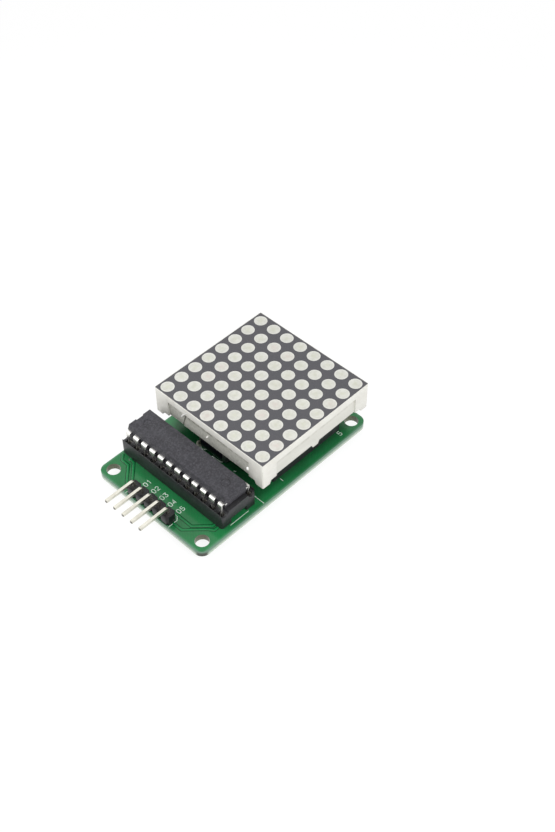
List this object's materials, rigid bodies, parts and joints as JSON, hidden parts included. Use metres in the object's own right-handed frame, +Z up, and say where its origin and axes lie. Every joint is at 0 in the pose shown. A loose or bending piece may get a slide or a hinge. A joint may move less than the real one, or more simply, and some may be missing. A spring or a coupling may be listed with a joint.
{
  "type": "led dot matrix display module",
  "caption": "Square dot matrix display plugged onto a driver board, with a socketed driver chip and a bent pin header.",
  "frame": {"origin": "centre of the mounting hole pattern on the underside of the circuit board", "axes": "+X along the board from the pin header to the far end of the display, +Z up through the display's face"},
  "size_m": [0.0561, 0.032, 0.015],
  "materials": {
    "circuit_board": "solder mask on glass fibre board, satin",
    "case_plastic": "moulded white, with a grey printed face",
    "potting": "milky cast resin",
    "substrate": "plain",
    "tinned_wire": "bright tinned",
    "tinned_spring": "bright tinned",
    "tinned_sheet": "satin tinned",
    "plated_pin": "bright plated",
    "black_plastic": "satin moulded",
    "moulding_compound": "fine matt",
    "can_metal": "drawn, satin",
    "sleeve_film": "shrunk film",
    "bung_rubber": "plain",
    "resistor_coat": "dipped coat with colour bands",
    "ceramic_dip": "dipped coat",
    "solder": "bright"
  },
  "bodies": {
    "root": {"board": "circuit_board", "capacitor_bung": "bung_rubber", "capacitor_can": "can_metal", "capacitor_lead_1": "tinned_wire", "capacitor_lead_2": "tinned_wire", "capacitor_sleeve": "sleeve_film", "ceramic_capacitor": "ceramic_dip", "ceramic_capacitor_leads": "tinned_wire", "chip_body": "moulding_compound", "chip_leads_far": "tinned_sheet", "chip_leads_near": "tinned_sheet", "header_pin_1": "plated_pin", "header_pin_2": "plated_pin", "header_pin_3": "plated_pin", "header_pin_4": "plated_pin", "header_pin_5": "plated_pin", "header_strip": "black_plastic", "matrix_case": "case_plastic", "matrix_pin_1": "tinned_wire", "matrix_pin_10": "tinned_wire", "matrix_pin_11": "tinned_wire", "matrix_pin_12": "tinned_wire", "matrix_pin_13": "tinned_wire", "matrix_pin_14": "tinned_wire", "matrix_pin_15": "tinned_wire", "matrix_pin_16": "tinned_wire", "matrix_pin_2": "tinned_wire", "matrix_pin_3": "tinned_wire", "matrix_pin_4": "tinned_wire", "matrix_pin_5": "tinned_wire", "matrix_pin_6": "tinned_wire", "matrix_pin_7": "tinned_wire", "matrix_pin_8": "tinned_wire", "matrix_pin_9": "tinned_wire", "matrix_potting": "potting", "matrix_substrate": "substrate", "resistor_body": "resistor_coat", "resistor_lead_1": "tinned_wire", "resistor_lead_2": "tinned_wire", "socket_contacts_far": "tinned_spring", "socket_contacts_near": "tinned_spring", "socket_frame": "black_plastic", "socket_strip_left": "black_plastic", "socket_strip_right": "black_plastic", "solder_ceramic_capacitor": "solder", "solder_chip_socket": "solder", "solder_header": "solder", "solder_resistor": "solder", "solder_smoothing_capacitor": "solder", "solder_socket_strips": "solder", "strip_contacts_left": "tinned_spring", "strip_contacts_right": "tinned_spring"}
  },
  "joints": []
}
